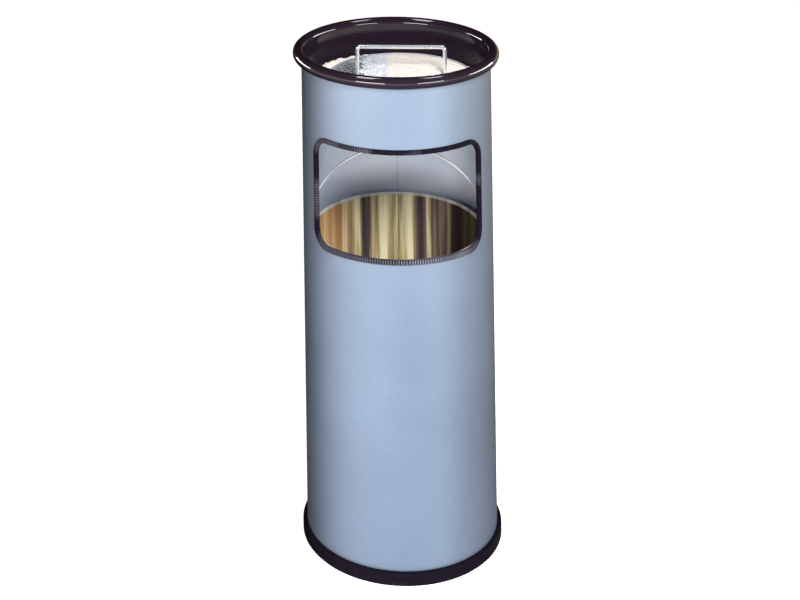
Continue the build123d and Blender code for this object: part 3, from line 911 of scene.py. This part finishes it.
class BIN_OT_window_trim(bpy.types.Operator):
    """Ribbed rubber channel pushed onto the window's edge, its ends butted on the sill"""

    bl_idname = "bin.window_trim"
    bl_label = "Window trim"

    def channel(self, trim, sheet):
        """Closed section of the channel: (inset from its outer edge, way out from the sheet's middle)."""
        out = TRIM_LOW.y + TUBE_RADIUS
        proud = abs(out) + sheet / 2
        inner = -(trim.inside + sheet / 2)
        grip = sheet / 2 + 0.1 * MM
        lip = 0.9 * MM
        bend = 1.9 * MM
        face = arc((trim.face - bend, proud - bend), bend, 90, -90, 6)
        back = arc((trim.face - bend, inner + bend), bend, 0, -90, 6)
        start = [(0.15 * MM, grip), (0.0, grip + lip), (0.7 * MM, proud - 0.25 * MM), (1.6 * MM, proud)]
        end = [(1.5 * MM, inner), (0.6 * MM, inner + 0.25 * MM), (0.0, -grip - lip * 0.6), (0.15 * MM, -grip)]
        slot = [(trim.slot, -grip), (trim.slot, grip)]
        crown = [(2.6 * MM, proud), (3.6 * MM, proud)]
        return np.vstack([start, crown, face, back, end, slot])

    def execute(self, context):
        """Each station of the path carries the section, its face sunk between ribs.

        The depth is (0.5 - 0.5 cos(2 pi ribs s / length)) squared, s the way along.
        """
        sizes, trim = bpy.context.scene.bin_sizes, bpy.context.scene.bin_trim
        section = self.channel(trim, sizes.sheet)
        step = trim.rib_pitch / 8
        stations = outline_stations(step)
        middle = TUBE_RADIUS - sizes.sheet / 2
        angle, height = on_outline(stations, trim.face / 2, middle)
        path = on_cylinder(angle[:, 0], height[:, 0], middle)
        travelled = np.concatenate([[0], np.cumsum(np.linalg.norm(np.diff(path, axis=0), axis=1))])
        ribs = round(travelled[-1] / trim.rib_pitch)
        wave = 0.5 - 0.5 * np.cos(2 * pi * ribs * travelled / travelled[-1])
        sunk = trim.rib_depth * wave[:, None] ** 2
        depth = section[None, :, 1]
        outward = np.clip((depth - sizes.sheet) / (1.0 * MM), 0, 1)
        inward = np.clip((-depth - sizes.sheet) / (1.0 * MM), 0, 1)
        over_face = outward - inward
        inset = np.broadcast_to(section[None, :, 0], (len(stations), len(section)))
        web = np.clip((inset - trim.slot - 0.6 * MM) / (1.2 * MM), 0, 1)
        radius = middle + depth - sunk * over_face
        inset = inset - sunk * web
        corner = trim.corner - inset
        place = stations[:, 0, None] + np.arcsin(stations[:, 1, None] * corner / radius)
        up = stations[:, 2, None] + stations[:, 3, None] * corner
        gap = 0.2 * MM / TUBE_RADIUS
        place[0] += gap
        place[-1] = trim.joint_angle - gap
        points = np.stack([radius * np.sin(place), -radius * np.cos(place), up], -1)
        groove = np.broadcast_to(wave[:, None] ** 2, points.shape[:2]).reshape(-1)
        make_piece(
            "window_trim_ribbed",
            skin(points, caps=True),
            "body",
            ["window_trim"],
            edge_rubber(),
            60,
            {"groove": groove},
        )
        return {"FINISHED"}


class BIN_OT_foot(bpy.types.Operator):
    """Foot ring, floor plate and the screws under it"""

    bl_idname = "bin.foot"
    bl_label = "Foot ring and floor plate"

    def ring_section(self):
        """Closed section of the ring: bevelled foot, rounded shoulder, groove for the tube and inner lip."""
        outer, top = RING_HIGH.x, RING_HIGH.z
        ledge = TUBE_LOW.z
        groove_out = TUBE_RADIUS + 0.1 * MM
        groove_in = TUBE_RADIUS - 1.1 * MM
        lip_in = groove_in - 2.0 * MM
        lip_top = ledge + 5.0 * MM
        inner = lip_in - 9.4 * MM
        bevel, shoulder = 2.8 * MM, 2.6 * MM
        foot = [(inner + 0.4 * MM, 0), (outer - bevel - 0.5 * MM, 0), (outer - bevel + 0.2 * MM, 0.2 * MM)]
        side = [(outer - 0.2 * MM, bevel - 0.3 * MM), (outer, bevel + 0.3 * MM)]
        round_top = arc((outer - shoulder, top - shoulder), shoulder, 0, 90, 10)
        inside = [
            (groove_out + 0.2 * MM, top),
            (groove_out, top - 0.2 * MM),
            (groove_out, ledge),
            (groove_in, ledge),
            (groove_in, lip_top),
            (lip_in, lip_top),
            (lip_in, ledge),
            (inner, ledge),
            (inner, 0.4 * MM),
        ]
        upright = spaced([(outer, bevel + 0.5 * MM), (outer, top - shoulder)], 2 * MM)
        return np.vstack([foot, side, upright, round_top, inside])

    def execute(self, context):
        ring = skin(turned(self.ring_section()), close_rows=True)
        make_piece("foot_ring", ring, "body", ["base_ring"], moulded_plastic(), 30)
        finish_nodes(plain_zinc(), "base_plate", "base_screws")
        return {"FINISHED"}


class BIN_OT_bucket(bpy.types.Operator):
    """Bucket: rolled wall with its wired edge, floor, ears and rivets"""

    bl_idname = "bin.bucket"
    bl_label = "Bucket"

    def wall_section(self):
        """Closed section of the wall: up the outside, over the curl, and down the inside."""
        sizes = bpy.context.scene.bin_sizes
        curl_out = sizes.bucket_curl
        curl_in = curl_out - sizes.bucket_sheet
        centre = (BUCKET_HIGH.x - curl_out, BUCKET_HIGH.z - curl_out)
        inner = centre[0] - curl_out
        outer = inner + sizes.bucket_sheet
        low = BUCKET_LOW.z
        outside = spaced([(outer, centre[1]), (outer, low)], 12 * MM)
        inside = spaced([(inner, low), (inner, centre[1])], 12 * MM)
        over = arc(centre, curl_out, 180, -250, 28)[1:]
        under = arc(centre, curl_in, -70, 250, 22)[:-1]
        return np.vstack([outside, inside, over, under])

    def execute(self, context):
        finish = rolled_steel()
        wall = skin(turned(self.wall_section(), 320), close_rows=True)
        make_piece("bucket_wall", wall, "bucket", ["bucket_shell"], finish, 50)
        finish_nodes(finish, "bucket_floor", "bucket_rim_wire")
        finish_nodes(plain_zinc(), "bail_ear_right", "bail_ear_left", "bail_rivets")
        return {"FINISHED"}


class BIN_OT_bail(bpy.types.Operator):
    """Wire bail of the bucket, its ends turned in through the ears"""

    bl_idname = "bin.bail"
    bl_label = "Bail"

    def execute(self, context):
        """The wire's line: out through an ear, a small bend, half a circle and the same in reverse."""
        pivot = Vector(BAIL_JOINT["pos_m"])
        radius = pivot.z - BAIL_LOW.z
        bend = 2.0 * MM
        reach = BAIL_HIGH.x - radius
        tip = reach - bend - 1.3 * MM
        small = arc((bend - reach, bend), bend, 270, -90, 8)[1:]
        large = arc((0, bend), reach, 180, -180, 160)[1:]
        last = arc((reach - bend, bend), bend, 0, -90, 8)[1:]
        start = np.array([(-tip, 0), (-tip - 0.3 * MM, 0), (bend - reach, 0)])
        end = np.array([(tip + 0.3 * MM, 0), (tip, 0)])
        flat = np.vstack([start, small, large, last, end])
        top = BAIL_HIGH.z - pivot.z - radius
        lean = -np.arccos(min(top / (reach + bend), 1.0))
        along = np.array([0, sin(lean), cos(lean)])
        side = np.array([0, cos(lean), -sin(lean)])
        path = flat[:, :1] * np.array([1.0, 0, 0]) + flat[:, 1:] * along + np.array(pivot)
        rings = wire_along(path, radius, side, 16)
        finish = bright_wire("bail_plated_wire", 0.72)
        make_piece("bail_wire", skin(rings, caps=True), "bail", ["bail"], finish, 50)
        return {"FINISHED"}


class BIN_OT_ash_bowl(bpy.types.Operator):
    """Spun ash bowl with its rolled rim"""

    bl_idname = "bin.ash_bowl"
    bl_label = "Ash bowl"

    def section(self):
        """Section from the floor's middle, up the inside, over and under the bead, and down the outside."""
        sizes = bpy.context.scene.bin_sizes
        sheet, bead = sizes.bowl_sheet, sizes.bowl_bead
        centre = (BOWL_HIGH.x - bead, BOWL_HIGH.z - bead)
        neck = centre[0] - bead
        neck_low = centre[1] - 8.5 * MM
        floor = BOWL_LOW.z + sheet
        foot = neck - sizes.bowl_taper
        bend = 6.0 * MM
        inside = [(0, floor), (foot * 0.5, floor), (foot - bend, floor)]
        inner_bend = arc((foot - bend, floor + bend), bend, -90, 84, 8)[1:]
        wall = spaced([inner_bend[-1], (neck, neck_low), (neck, centre[1])], 6 * MM)[1:]
        over = arc(centre, bead, 180, -275, 64)[1:]
        under = arc(centre, bead - sheet, -95, 275, 44)
        outer_wall = spaced([(neck + sheet, centre[1]), (neck + sheet, neck_low)], 6 * MM)[1:]
        outer_bend = arc((foot - bend, floor + bend), bend + sheet, -6, -84, 8)
        outside = [(foot * 0.5, BOWL_LOW.z), (0, BOWL_LOW.z)]
        return np.vstack([inside, inner_bend, wall, over, under, outer_wall, outer_bend, outside])

    def execute(self, context):
        bowl = skin(turned(self.section(), 320))
        make_piece("ash_bowl_spun", bowl, "ash_bowl", ["ash_bowl"], gloss_enamel(), 50)
        return {"FINISHED"}


class BIN_OT_sand(bpy.types.Operator):
    """Sand in the bowl and the sand lying on the sieve"""

    bl_idname = "bin.sand"
    bl_label = "Sand"

    def bed(self, ripple):
        """Bed of sand over radius and angle: level under the sieve, banked round it, hollow at the left."""
        sizes = bpy.context.scene.bin_sizes
        rings, spokes = 110, 220
        share = np.linspace(0, 1, rings)[:, None]
        angle = (2 * pi * np.arange(spokes) / spokes)[None, :]
        reach = BED_HIGH.x - 0.1 * MM
        x, y = share * reach * np.cos(angle), share * reach * np.sin(angle)
        off = np.hypot(x - SIEVE_CENTRE.x, y - SIEVE_CENTRE.y) - (SIEVE_HIGH.x - SIEVE_CENTRE.x)
        bank = np.clip(off / (9 * MM), 0, 1)
        bumps = uneven(x, y, 14 * MM, 11) * 0.6 + uneven(x, y, 5 * MM, 12) * 0.4
        flat = BED_HIGH.z - 0.3 * MM
        hollow = np.clip((-6 * MM - x) / (14 * MM), 0, 1) * np.clip(-off / (7 * MM), 0, 1)
        clods = np.clip(uneven(x, y, 7 * MM, 13), 0, 2) * np.clip((y + 0.3 * (0.03 - x)) / (40 * MM), 0, 1)
        z = flat + bank * (1.8 * MM + ripple * (bumps + 1.6 * clods)) + (1 - bank) * 0.25 * MM * (bumps - 1)
        z = z - hollow * (4.0 * MM - ripple * bumps)
        top = np.stack([x, y, z], -1)
        floor = BED_LOW.z
        taper_height = BOWL_HIGH.z - BOWL_LOW.z - 2.2 * sizes.bowl_bead
        foot = BED_HIGH.x - sizes.bowl_taper * (BED_HIGH.z - floor) / taper_height
        sides = [(foot - 1.5 * MM, floor + 4 * MM), (foot - 7 * MM, floor), (0, floor)]
        below = np.stack(
            [
                np.stack([r * np.cos(angle[0]), r * np.sin(angle[0]), np.full(spokes, h)], -1)
                for r, h in sides
            ]
        )
        return skin(np.concatenate([top, below]))

    def heap(self, ripple, edge):
        """Sand on the sieve, about a centre at its right: thin at a ragged left edge and at the band."""
        rings, spokes = 90, 260
        centre = np.array([38 * MM, SIEVE_CENTRE.y])
        share = np.linspace(0, 1, rings)[:, None]
        angle = (2 * pi * np.arange(spokes) / spokes)[None, :]
        ahead = np.stack([np.cos(angle), np.sin(angle)], -1)
        limit = SIEVE_HIGH.x - SIEVE_CENTRE.x - 2.6 * MM
        across = centre - np.array([SIEVE_CENTRE.x, SIEVE_CENTRE.y])
        along = ahead @ across
        to_band = -along + np.sqrt(along**2 + limit**2 - across @ across)
        ragged = 1 + 0.06 * uneven(8 * angle, 0 * angle, 2.2, 21)
        ragged = ragged + 0.035 * uneven(30 * angle, 0 * angle, 2.2, 22)
        to_edge = (centre[0] - edge) * ragged / np.maximum(-ahead[..., 0], 1e-3)
        reach = np.where(ahead[..., 0] < 0, np.minimum(to_band, to_edge), to_band)
        x = centre[0] + share * reach * ahead[..., 0]
        y = centre[1] + share * reach * ahead[..., 1]
        rim = np.clip((1 - share) * reach / (16 * MM), 0, 1)
        bumps = uneven(x, y, 11 * MM, 31) * 0.6 + uneven(x, y, 3.6 * MM, 32) * 0.4
        low = MESH_HIGH.z + 0.05 * MM
        z = low + rim**0.6 * (2.7 * MM + ripple * bumps)
        z = np.maximum(z, low + 0.02 * MM)
        top = np.stack([x, y, z], -1)
        base = np.stack([x[-1:], y[-1:], np.full((1, spokes), low)], -1)
        middle = np.stack([x[:1], y[:1], np.full((1, spokes), low)], -1)
        return skin(np.concatenate([top, base, middle]))

    def execute(self, context):
        sieve = context.scene.bin_sieve
        bed = self.bed(sieve.ripple)
        make_piece("sand_fill", bed, "ash_bowl", ["sand_bed"], dry_sand("sand_fill", True), 80)
        heap = self.heap(sieve.ripple, sieve.heap_edge)
        make_piece("sand_on_sieve", heap, "sieve", ["sand_heap"], dry_sand("dry_sand", False), 80)
        return {"FINISHED"}


class BIN_OT_sieve(bpy.types.Operator):
    """Sieve: expanded mesh, its band and the hoop handle"""

    bl_idname = "bin.sieve"
    bl_label = "Sieve"

    def mesh_sheet(self, sieve):
        """Expanded mesh: every cell is a rhombus with a smaller one open inside it.

        Cells stand on a lattice of half a cell each way. The inner rhombus is
        tipped, so that each strand slopes, and points past the band are drawn
        back onto its circle.
        """
        half_long, half_short = sieve.cell_long / 2, sieve.cell_short / 2
        reach = SIEVE_HIGH.x - SIEVE_CENTRE.x - 1.2 * MM
        out = int(reach / half_short) + 2
        column, row = np.meshgrid(np.arange(-out, out + 1), np.arange(-out, out + 1))
        even = (column + row) % 2 == 0
        x, y = column[even] * half_long, row[even] * half_short
        near = np.hypot(x, y) < reach + half_short * 0.4
        x, y = x[near], y[near]
        share = sieve.open_share
        corners = np.array([(1, 0), (0, 1), (-1, 0), (0, -1)], float) * (half_long, half_short)
        inner = corners * share
        thick = MESH_HIGH.z - MESH_LOW.z
        middle = (MESH_HIGH.z + MESH_LOW.z) / 2
        tip = np.array([0, 0.22, 0, -0.22]) * thick
        half = 0.28
        layers = []
        for ring, lift in ((corners, 0 * tip), (inner, tip)):
            for sign in (1, -1):
                px = x[:, None] + ring[None, :, 0]
                py = y[:, None] + ring[None, :, 1]
                pz = middle + sign * half * thick + np.broadcast_to(lift, px.shape)
                layers.append(np.stack([px, py, pz], -1))
        points = np.stack(layers, 1).reshape(-1, 3)
        far = np.hypot(points[:, 0], points[:, 1])
        pull = np.minimum(1, reach / np.maximum(far, 1e-9))
        points[:, :2] *= pull[:, None]
        turn_x, turn_y = cos(sieve.cell_turn), sin(sieve.cell_turn)
        points[:, :2] = points[:, :2] @ np.array([[turn_x, turn_y], [-turn_y, turn_x]])
        points[:, :2] += (SIEVE_CENTRE.x, SIEVE_CENTRE.y)
        turn = np.arange(4)
        after = (turn + 1) % 4
        outer_top, outer_low, inner_top, inner_low = turn, 4 + turn, 8 + turn, 12 + turn
        quads = np.vstack(
            [
                np.stack([outer_top, after, 8 + after, inner_top], -1),
                np.stack([outer_low, inner_low, 12 + after, 4 + after], -1),
                np.stack([inner_top, 8 + after, 12 + after, inner_low], -1),
            ]
        )
        faces = (quads[None] + 16 * np.arange(len(x))[:, None, None]).reshape(-1, 4)
        return points, faces.tolist()

    def band(self):
        """Closed section of the band round the mesh, with eased edges."""
        outer = SIEVE_HIGH.x - SIEVE_CENTRE.x
        inner = outer - 2.0 * MM
        low, high = SIEVE_LOW.z, SIEVE_HIGH.z
        bend = 0.5 * MM
        return np.vstack(
            [
                arc((outer - bend, low + bend), bend, -90, 90, 4),
                arc((outer - bend, high - bend), bend, 0, 90, 4),
                arc((inner + bend, high - bend), bend, 90, 90, 4),
                arc((inner + bend, low + bend), bend, 180, 90, 4),
            ]
        )

    def hoop(self, bend):
        """Hoop's line: up one leg, round a corner, along the bar, round the other corner, and down."""
        radius = (HOOP_HIGH.y - HOOP_LOW.y) / 2
        left, right = HOOP_LOW.x + radius, HOOP_HIGH.x - radius
        low, high = HOOP_LOW.z, HOOP_HIGH.z - radius
        first = arc((left + bend, high - bend), bend, 180, -90, 10)
        second = arc((right - bend, high - bend), bend, 90, -90, 10)
        half_way = (low + high) / 2
        flat = np.vstack([[(left, low), (left, half_way)], first, second, [(right, half_way), (right, low)]])
        y = (HOOP_LOW.y + HOOP_HIGH.y) / 2
        path = np.stack([flat[:, 0], np.full(len(flat), y), flat[:, 1]], -1)
        return wire_along(path, radius, (0, 1, 0), 24)

    def execute(self, context):
        sieve = context.scene.bin_sieve
        steel = mesh_steel()
        mesh = self.mesh_sheet(sieve)
        make_piece("sieve_expanded_mesh", mesh, "sieve", ["sieve_mesh"], steel, 30)
        band = skin(turned(self.band(), 160, (SIEVE_CENTRE.x, SIEVE_CENTRE.y)), close_rows=True)
        make_piece("sieve_band", band, "sieve", ["sieve_rim"], steel, 50)
        hoop = skin(self.hoop(sieve.hoop_bend), caps=True)
        plated = bright_wire("hoop_plated_wire", 0.86)
        make_piece("sieve_hoop", hoop, "sieve", ["sieve_handle"], plated, 50)
        return {"FINISHED"}


# ---- Room and lamps ----

# The room's colour is one colour for the compass turn from the front, in degrees, times one for the
# upward part of the direction.
ROOM_ROUND = [
    (-180, (0.01, 0.01, 0.01)), (-150, (0.01, 0.01, 0.01)),
    (-126, (0.02, 0.015, 0.02)), (-104, (0.30, 0.26, 0.27)),
    (-70, (0.74, 0.70, 0.72)), (-45, (0.86, 0.86, 0.90)), (-20, (0.78, 0.79, 0.84)), (5, (0.56, 0.58, 0.64)),
    (35, (0.66, 0.67, 0.71)), (52, (0.82, 0.82, 0.82)), (66, (0.44, 0.42, 0.42)), (105, (0.33, 0.28, 0.25)),
    (150, (0.22, 0.19, 0.165)), (178, (0.04, 0.04, 0.04)),
]
ROOM_HEIGHT = [
    (-1.0, (0.36, 0.37, 0.41)), (-0.62, (0.46, 0.48, 0.54)),
    (-0.42, (0.58, 0.60, 0.69)), (-0.2, (2.30, 2.08, 1.52)),
    (0.02, (2.60, 2.34, 1.68)), (0.14, (0.40, 0.40, 0.40)),
    (0.30, (0.05, 0.05, 0.06)), (1.0, (0.03, 0.03, 0.04)),
]
# Name, what it lights, place, aim, size and power. A matte lamp shows no mirror image of itself.
LAMPS = [
    ("top_right_softbox", "all", (0.55, 0.25, 2.2), (0, 0, 0.6), (0.75, 0.3), 5.0),
    ("top_left_softbox", "all", (-0.45, 0.15, 2.2), (0, 0, 0.6), (0.9, 0.3), 8.5),
    ("bucket_softbox", "matte", (0.35, -1.20, 1.35), (-0.03, 0.1, 0.34), (0.4, 0.4), 50),
    ("chamber_softbox", "matte", (0.12, -1.60, 0.34), (0.0, 0.12, 0.485), (0.5, 0.25), 36),
    ("chamber_left_softbox", "matte", (-0.95, -1.15, 0.68), (0.0, 0.05, 0.44), (0.4, 0.4), 4),
    ("rim_front_left", "bowl", (-0.90, -1.78, 0.80), (0, 0, 0.6), (1.1, 0.42), 24),
    ("rim_front_right", "bowl", (1.20, -1.60, 0.80), (0, 0, 0.6), (1.0, 0.40), 16),
    ("rim_right", "bowl", (1.93, 0.52, 0.75), (0, 0, 0.6), (1.6, 0.30), 28),
    ("rim_left", "bowl", (-1.73, 1.0, 0.75), (0, 0, 0.6), (1.2, 0.30), 19),
]


class BIN_OT_stage(bpy.types.Operator):
    """Pale floor, soft studio light and the view camera"""

    bl_idname = "bin.stage"
    bl_label = "Stage"

    def floor(self):
        """Pale paper that only the lens sees: it neither lights the bin nor mirrors in it."""
        mesh = bpy.data.meshes.new("studio_floor")
        half = 9.0
        corners = [(-half, -half, 0), (half, -half, 0), (half, half, 0), (-half, half, 0)]
        mesh.from_pydata(corners, [], [(0, 1, 2, 3)])
        floor = bpy.data.objects.new("studio_floor", mesh)
        bpy.context.scene.collection.objects.link(floor)
        paper = Coat("pale_floor")
        glow = {"Emission_Color": (1.0, 1.0, 1.0), "Emission_Strength": 0.86}
        white = (0.8, 0.8, 0.8)
        mesh.materials.append(paper.done(Base_Color=white, Roughness=1.0, Specular_IOR_Level=0.0, **glow))
        floor.visible_glossy = floor.visible_diffuse = floor.visible_shadow = False

    def lamp(self, name, kind, place, aim, size, power):
        """A rectangular soft light turned to its aim. A bowl lamp lights the bowl and the hoop alone."""
        light = bpy.data.lights.new(name, "AREA")
        light.shape = "RECTANGLE"
        light.size, light.size_y = size
        light.energy = power
        lamp = bpy.data.objects.new(name, light)
        lamp.visible_camera = False
        lamp.visible_glossy = kind != "matte"
        if kind == "bowl":
            lamp.light_linking.receiver_collection = bpy.data.collections["bowl_and_hoop"]
        lamp.location = place
        lamp.rotation_euler = (Vector(aim) - Vector(place)).to_track_quat("-Z", "Y").to_euler()
        bpy.context.scene.collection.objects.link(lamp)

    def room(self):
        """White to the lens. To the bin it is bright in front, near black behind and dark above."""
        room = Coat("studio_room", bpy.data.worlds)
        bpy.context.scene.world = room.material
        x, y, z = room.axes(room.node("ShaderNodeTexCoord").outputs["Generated"])
        turn = room.level("ShaderNodeMath", {"operation": "ARCTAN2"}, {0: x, 1: 0 - y}) / (2 * pi) + 0.5
        walls = room.ramp(turn, *[(compass / 360 + 0.5, tone) for compass, tone in ROOM_ROUND])
        height = room.ramp(z * 0.5 + 0.5, *[(level * 0.5 + 0.5, tone) for level, tone in ROOM_HEIGHT])
        glow = room.node("ShaderNodeVectorMath", {"operation": "MULTIPLY"}, {0: walls, 1: height}).outputs[0]
        dim = room.node("ShaderNodeBackground", inputs={0: glow, 1: 1.0})
        seen = room.node("ShaderNodeBackground", inputs={0: (1.0, 1.0, 1.0, 1.0), 1: 1.0})
        lens = room.node("ShaderNodeLightPath").outputs["Is Camera Ray"]
        mix = room.node("ShaderNodeMixShader", inputs={0: lens, 1: dim.outputs[0], 2: seen.outputs[0]})
        room.node("ShaderNodeOutputWorld", inputs={0: mix.outputs[0]})

    def camera(self, stage):
        """A view camera: its film stands upright while its lens looks down, so upright edges stay parallel.

        The film's across and up directions are the camera's X and Y, and the
        line from the lens to the middle of the picture is its -Z. The three
        aren't square to each other, which the parent's inverse matrix holds.
        """
        turn, tip = stage.heading, stage.roll
        ahead = Vector((sin(turn), cos(turn), 0))
        right = Vector((cos(turn), -sin(turn), 0))
        up = Vector((0, 0, 1))
        across = right * cos(tip) + up * sin(tip)
        upward = up * cos(tip) - right * sin(tip)
        middle = ahead + across * stage.cross - upward * stage.fall
        eye = Vector((0, -stage.eye_distance, stage.eye_height))
        columns = [across, upward, -middle.normalized(), eye]
        lean = Matrix([[column[row] for column in columns] for row in range(3)] + [[0, 0, 0, 1]])
        lens = bpy.data.cameras.new("view_camera")
        lens.sensor_width = 36.0
        lens.lens = stage.focal * middle.length
        camera = bpy.data.objects.new("view_camera", lens)
        stand = bpy.data.objects.new("camera_stand", None)
        bpy.context.scene.collection.objects.link(camera)
        bpy.context.scene.collection.objects.link(stand)
        camera.parent = stand
        camera.matrix_parent_inverse = lean
        bpy.context.scene.camera = camera

    def execute(self, context):
        self.floor()
        self.room()
        lit = bpy.data.collections.new("bowl_and_hoop")
        for piece in ("ash_bowl_spun", "sieve_hoop"):
            lit.objects.link(bpy.data.objects[piece])
        for lamp in LAMPS:
            self.lamp(*lamp)
        self.camera(context.scene.bin_stage)
        context.scene.view_settings.view_transform = "Standard"
        return {"FINISHED"}


class BIN_PT_panel(bpy.types.Panel):
    """Lists the bin's pieces and their sizes"""

    bl_idname = "BIN_PT_panel"
    bl_label = "Litter bin"
    bl_space_type = "VIEW_3D"
    bl_region_type = "UI"
    bl_category = "Bin"

    def draw(self, context):
        for operator in OPERATORS:
            self.layout.operator(operator.bl_idname)
        for group in ("bin_sizes", "bin_trim", "bin_sieve", "bin_finishes", "bin_stage"):
            settings = getattr(context.scene, group)
            box = self.layout.box()
            for name in settings.bl_rna.properties.keys():
                if name not in ("rna_type", "name"):
                    box.prop(settings, name)


OPERATORS = (
    BIN_OT_tube,
    BIN_OT_window_trim,
    BIN_OT_foot,
    BIN_OT_bucket,
    BIN_OT_bail,
    BIN_OT_ash_bowl,
    BIN_OT_sieve,
    BIN_OT_sand,
    BIN_OT_stage,
)
GROUPS = {
    "bin_sizes": BinSizes,
    "bin_trim": TrimSizes,
    "bin_sieve": SieveSizes,
    "bin_finishes": BinFinishes,
    "bin_stage": StageSizes,
}


def register():
    for group in GROUPS.values():
        bpy.utils.register_class(group)
    for operator in OPERATORS:
        bpy.utils.register_class(operator)
    bpy.utils.register_class(BIN_PT_panel)
    for name, group in GROUPS.items():
        setattr(bpy.types.Scene, name, bpy.props.PointerProperty(type=group))


def unregister():
    for name in GROUPS:
        delattr(bpy.types.Scene, name)
    bpy.utils.unregister_class(BIN_PT_panel)
    for operator in reversed(OPERATORS):
        bpy.utils.unregister_class(operator)
    for group in reversed(GROUPS.values()):
        bpy.utils.unregister_class(group)


def main():
    """Registers the classes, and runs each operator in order."""
    register()
    for operator in OPERATORS:
        group, action = operator.bl_idname.split(".")
        getattr(getattr(bpy.ops, group), action)()


if __name__ == "__main__":
    main()
